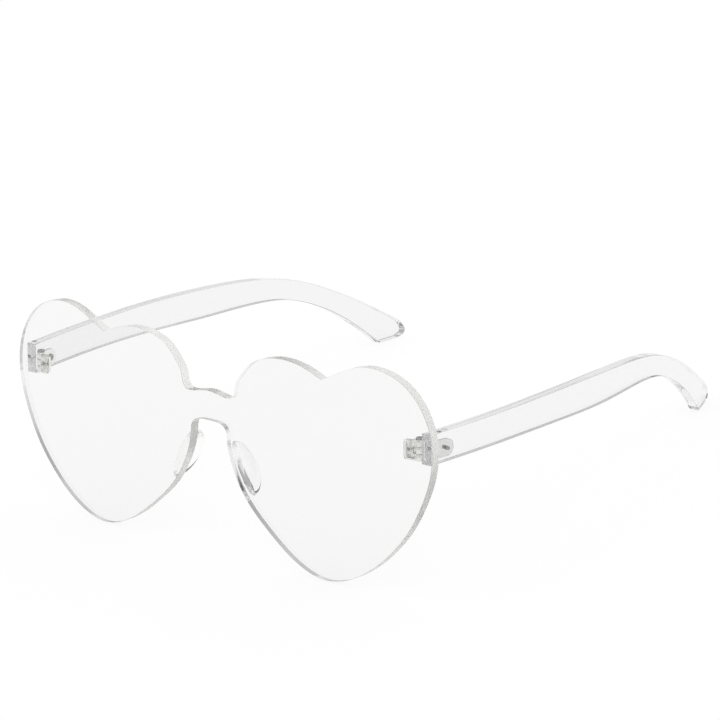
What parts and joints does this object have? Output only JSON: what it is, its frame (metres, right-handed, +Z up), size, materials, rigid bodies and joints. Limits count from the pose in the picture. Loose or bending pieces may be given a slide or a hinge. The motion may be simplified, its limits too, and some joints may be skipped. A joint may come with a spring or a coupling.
{
  "type": "heart shaped glasses",
  "caption": "Clear rimless glasses with a one-piece curved lens shaped as joined hearts, bonded nose pads and clear temples that fold on small metal hinges.",
  "frame": {"origin": "on the table under the middle of the glasses as they lie on their heart tips and temple feet, temples open", "axes": "+Z up from the table, the lens faces -Y, the temples run towards +Y, +X is the wearer's left"},
  "size_m": [0.1482, 0.144, 0.0583],
  "materials": {
    "clear_plastic": "clear, polished",
    "hinge_metal": "nickel plated",
    "screw_steel": "turned steel"
  },
  "bodies": {
    "front": {"front_lens": "clear_plastic", "nose_pad_left": "clear_plastic", "hinge_block_left": "clear_plastic", "front_hinge_leaf_left": "hinge_metal", "front_leaf_screw_left": "screw_steel", "hinge_screw_left": "screw_steel", "nose_pad_right": "clear_plastic", "hinge_block_right": "clear_plastic", "front_hinge_leaf_right": "hinge_metal", "front_leaf_screw_right": "screw_steel", "hinge_screw_right": "screw_steel"},
    "left_temple": {"temple_left": "clear_plastic", "temple_hinge_leaf_left": "hinge_metal", "temple_leaf_screw_left": "screw_steel"},
    "right_temple": {"temple_right": "clear_plastic", "temple_hinge_leaf_right": "hinge_metal", "temple_leaf_screw_right": "screw_steel"}
  },
  "joints": [
    {"name": "left_temple_fold", "type": "hinge", "parent": "front", "child": "left_temple", "pos_m": [0.06701, -0.06015, 0.03805], "axis": [0, 0.1515, 0.9885], "range_deg": [0, 84.5]},
    {"name": "right_temple_fold", "type": "hinge", "parent": "front", "child": "right_temple", "pos_m": [-0.06701, -0.06015, 0.03805], "axis": [0, -0.1515, -0.9885], "range_deg": [0, 73]}
  ]
}
